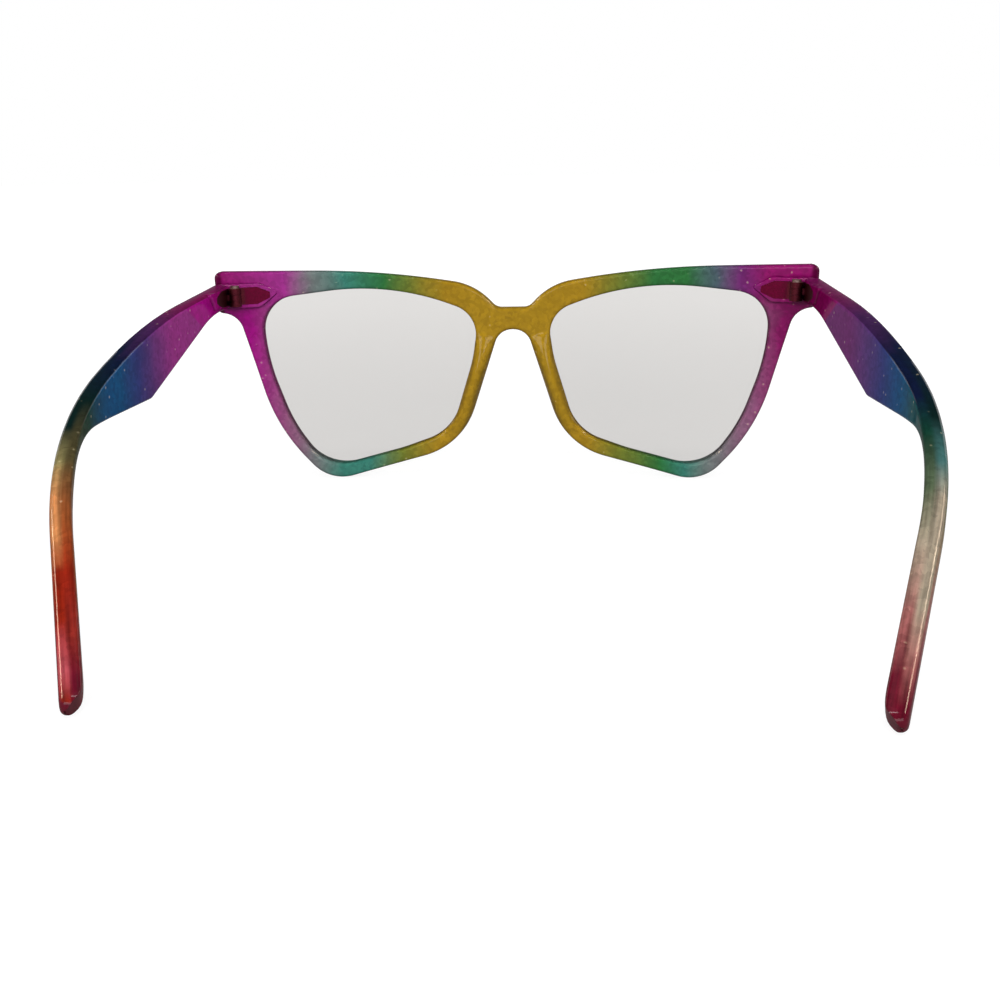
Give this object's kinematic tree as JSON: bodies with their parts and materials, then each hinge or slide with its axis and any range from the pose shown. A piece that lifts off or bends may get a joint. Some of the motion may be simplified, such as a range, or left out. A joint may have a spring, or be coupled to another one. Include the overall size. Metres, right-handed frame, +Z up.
{
  "type": "cat eye eyeglasses",
  "caption": "Cat eye spectacles: moulded glitter plastic front with clear lenses, and wide angular folding temples on screw hinges.",
  "frame": {"origin": "centre of the bounding box from side to side and front to back, on the surface that the glasses stand on", "axes": "+X towards the wearer's left, +Y from the front towards the ears, +Z up"},
  "size_m": [0.1612, 0.1443, 0.0544],
  "materials": {
    "frame_plastic": "gloss, translucent with fine glitter, rainbow coloured",
    "lens_clear": "polished, clear with a light grey tint",
    "hinge_steel": "satin",
    "screw_steel": "satin"
  },
  "bodies": {
    "front": {"front_frame": "frame_plastic", "left_lens": "lens_clear", "right_lens": "lens_clear", "left_front_hinge": "hinge_steel", "right_front_hinge": "hinge_steel", "left_hinge_screw": "screw_steel", "right_hinge_screw": "screw_steel"},
    "left_temple_arm": {"left_temple": "frame_plastic", "left_temple_hinge": "hinge_steel"},
    "right_temple_arm": {"right_temple": "frame_plastic", "right_temple_hinge": "hinge_steel"}
  },
  "joints": [
    {"name": "left_temple_fold", "type": "hinge", "parent": "front", "child": "left_temple_arm", "pos_m": [0.06809, -0.05681, 0.04844], "axis": [0, 0, 1], "range_deg": [0, 88]},
    {"name": "right_temple_fold", "type": "hinge", "parent": "front", "child": "right_temple_arm", "pos_m": [-0.06809, -0.05681, 0.04844], "axis": [0, 0, -1], "range_deg": [0, 82]}
  ]
}
